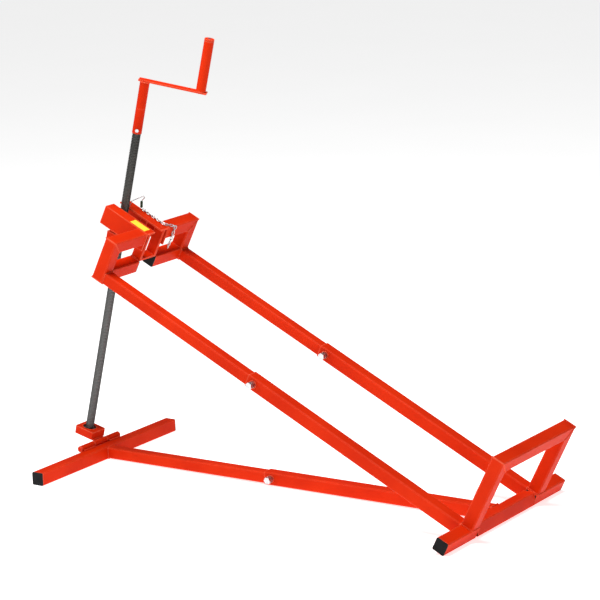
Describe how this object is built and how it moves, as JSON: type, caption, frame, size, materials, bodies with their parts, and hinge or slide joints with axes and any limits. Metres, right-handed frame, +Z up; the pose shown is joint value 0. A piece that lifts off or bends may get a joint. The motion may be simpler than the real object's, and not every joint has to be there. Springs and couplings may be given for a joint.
{
  "type": "ride-on mower lift",
  "caption": "Floor-standing screw lift for the front of a ride-on mower, with a telescopic T-foot base, a hinged telescopic lift frame and a cranked spindle.",
  "frame": {"origin": "middle of the foot tube's underside, on the floor", "axes": "+X along the base from the foot to the rear hinge, +Y across the lift, +Z up"},
  "size_m": [1.6439, 0.683, 1.3303],
  "materials": {
    "red_paint": "glossy enamel over steel tube",
    "black_plastic": "moulded",
    "spindle_steel": "dark, lightly oiled thread",
    "zinc_steel": "bright zinc",
    "bearing_steel": "ground",
    "bronze": "machined",
    "yellow_label": "smooth foil"
  },
  "bodies": {
    "base_rear": {"base_outer_tube": "red_paint", "hinge_tube": "red_paint", "hinge_bushes": "black_plastic", "base_lock_nut": "zinc_steel", "base_lock_bolt": "zinc_steel"},
    "foot": {"foot_tube": "red_paint", "foot_caps": "black_plastic", "base_inner_tube": "red_paint", "foot_knuckles": "red_paint", "swivel_pin": "red_paint", "swivel_pin_ring": "red_paint"},
    "swivel": {"swivel_knuckle": "red_paint", "bearing_housing": "red_paint", "lower_race": "bearing_steel", "bearing_balls": "bearing_steel"},
    "screw": {"upper_race": "bearing_steel", "spindle": "spindle_steel", "spindle_clip": "zinc_steel", "crank_socket": "red_paint", "socket_bolt": "zinc_steel", "socket_bolt_nut": "zinc_steel", "crank_arm": "red_paint", "grip_pin": "zinc_steel", "grip_washer": "red_paint"},
    "grip": {"crank_grip": "red_paint"},
    "lift_frame": {"stub_near": "red_paint", "stub_far": "red_paint", "stub_caps": "black_plastic", "hinge_axle": "bearing_steel", "axle_blocks": "bearing_steel", "rail_outer_near": "red_paint", "rail_outer_far": "red_paint", "stop_post_near": "red_paint", "stop_post_far": "red_paint", "wheel_stop_bar": "red_paint", "rail_lock_nuts": "zinc_steel", "rail_lock_bolts": "zinc_steel"},
    "carriage": {"rail_inner_near": "red_paint", "rail_inner_far": "red_paint", "loop_post_near": "red_paint", "loop_post_far": "red_paint", "upper_cross_near": "red_paint", "upper_cross_far": "red_paint", "lower_cross_near": "red_paint", "lower_cross_far": "red_paint", "cross_caps": "black_plastic", "beam_near": "red_paint", "beam_far": "red_paint", "loop_webs": "red_paint", "bridge_plate": "red_paint", "nut_hangers": "red_paint", "nut_pivot_bolt": "zinc_steel", "nut_pivot_lock_nut": "zinc_steel", "blank_label": "yellow_label", "safety_chain": "zinc_steel", "chain_hook": "black_plastic", "wire_clip": "zinc_steel"},
    "nut": {"nut_block": "red_paint", "spindle_nut": "bronze"}
  },
  "joints": [
    {"name": "frame_lift", "type": "hinge", "parent": "base_rear", "child": "lift_frame", "pos_m": [1.41591, 0, 0.02544], "axis": [0, 1, 0], "range_deg": [-24.4, 8]},
    {"name": "base_extend", "type": "slide", "parent": "foot", "child": "base_rear", "axis": [1, 0, 0.0038], "range_m": [-0.15, 0.05]},
    {"name": "rails_extend", "type": "slide", "parent": "lift_frame", "child": "carriage", "axis": [-0.8957, 0, 0.4446], "range_m": [-0.15, 0.05]},
    {"name": "spindle_tilt", "type": "hinge", "parent": "foot", "child": "swivel", "pos_m": [-0.02618, 0, 0.04618], "axis": [0, 1, 0], "range_deg": [-12.3, 4.1]},
    {"name": "nut_tilt", "type": "hinge", "parent": "carriage", "child": "nut", "pos_m": [0.1377, 0, 0.69345], "axis": [0, 1, 0], "range_deg": [-4.1, 12.3]},
    {"name": "spindle_turn", "type": "hinge", "parent": "swivel", "child": "screw", "pos_m": [-0.06981, 0, 0.05723], "axis": [0.2454, 0, 0.9694], "continuous": true},
    {"name": "grip_spin", "type": "hinge", "parent": "screw", "child": "grip", "pos_m": [0.37054, 0.07227, 1.16503], "axis": [0.2454, 0, 0.9694], "continuous": true}
  ],
  "couplings": [
    {"joint": "spindle_tilt", "follows": "frame_lift", "ratio": 0.5},
    {"joint": "nut_tilt", "follows": "frame_lift", "ratio": -0.5},
    {"joint": "rails_extend", "follows": "base_extend", "ratio": 0.9935}
  ]
}
